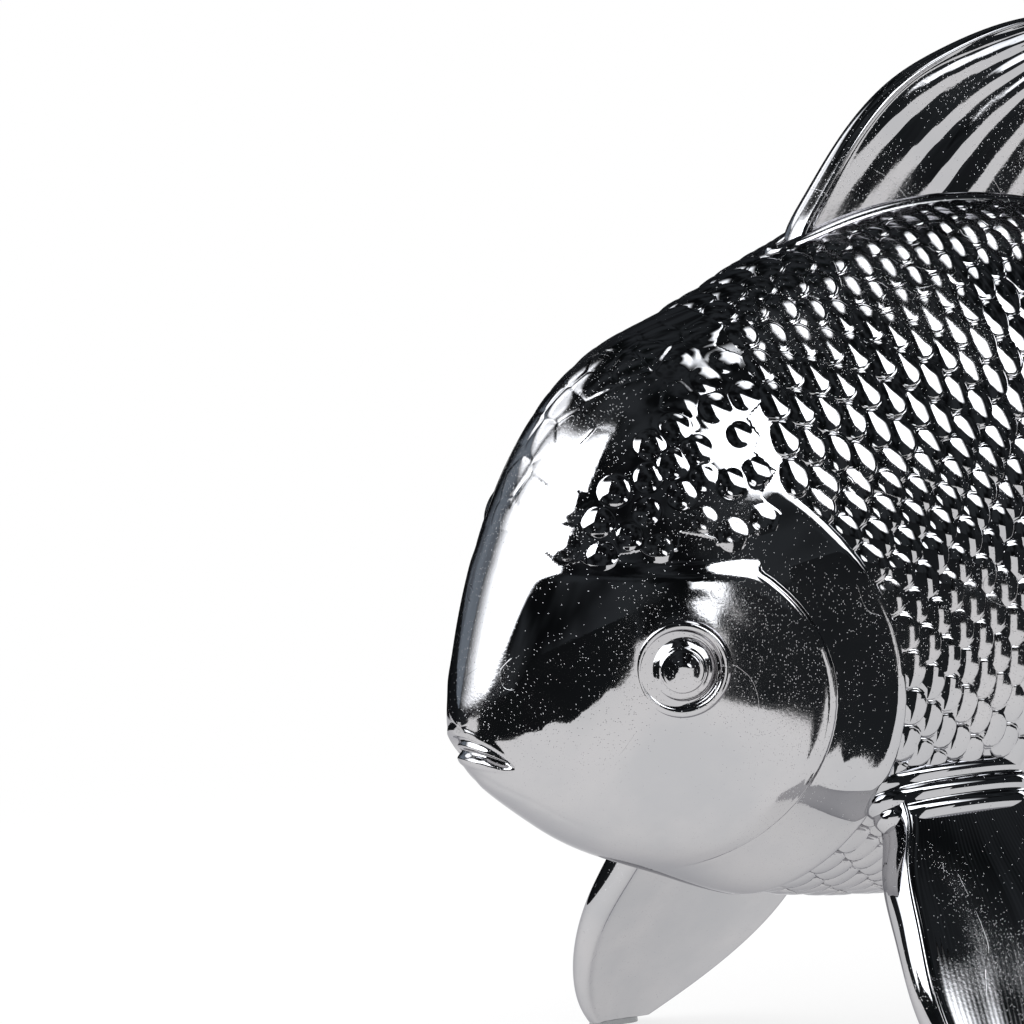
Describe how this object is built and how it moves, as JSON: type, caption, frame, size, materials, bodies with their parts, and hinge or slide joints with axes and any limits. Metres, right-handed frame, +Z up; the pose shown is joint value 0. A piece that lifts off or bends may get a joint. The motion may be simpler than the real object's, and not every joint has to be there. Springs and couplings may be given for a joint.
{
  "type": "fish figurine",
  "caption": "Chrome-plated goldfish figurine, hollow and scaled, that stands on the tips of its pectoral and tail fins.",
  "frame": {"origin": "on the surface that the figurine stands on, below the middle of its overall length, on the fish's middle plane", "axes": "+Z up, the head points along -X, the fish's left side is -Y"},
  "size_m": [0.3203, 0.143, 0.2054],
  "materials": {
    "chrome_plate": "mirror plating over cast resin, with fine dust pits",
    "plug_rubber": "matt moulded rubber",
    "foot_silicone": "satin silicone"
  },
  "bodies": {
    "root": {"body_left_half": "chrome_plate", "body_right_half": "chrome_plate", "left_eye": "chrome_plate", "right_eye": "chrome_plate", "dorsal_fin": "chrome_plate", "left_pectoral_fin": "chrome_plate", "right_pectoral_fin": "chrome_plate", "left_pelvic_fin": "chrome_plate", "right_pelvic_fin": "chrome_plate", "anal_fin": "chrome_plate", "left_tail_fin": "chrome_plate", "right_tail_fin": "chrome_plate", "vent_plug": "plug_rubber", "front_left_foot_pad": "foot_silicone", "front_right_foot_pad": "foot_silicone", "rear_left_foot_pad": "foot_silicone", "rear_right_foot_pad": "foot_silicone"}
  },
  "joints": []
}
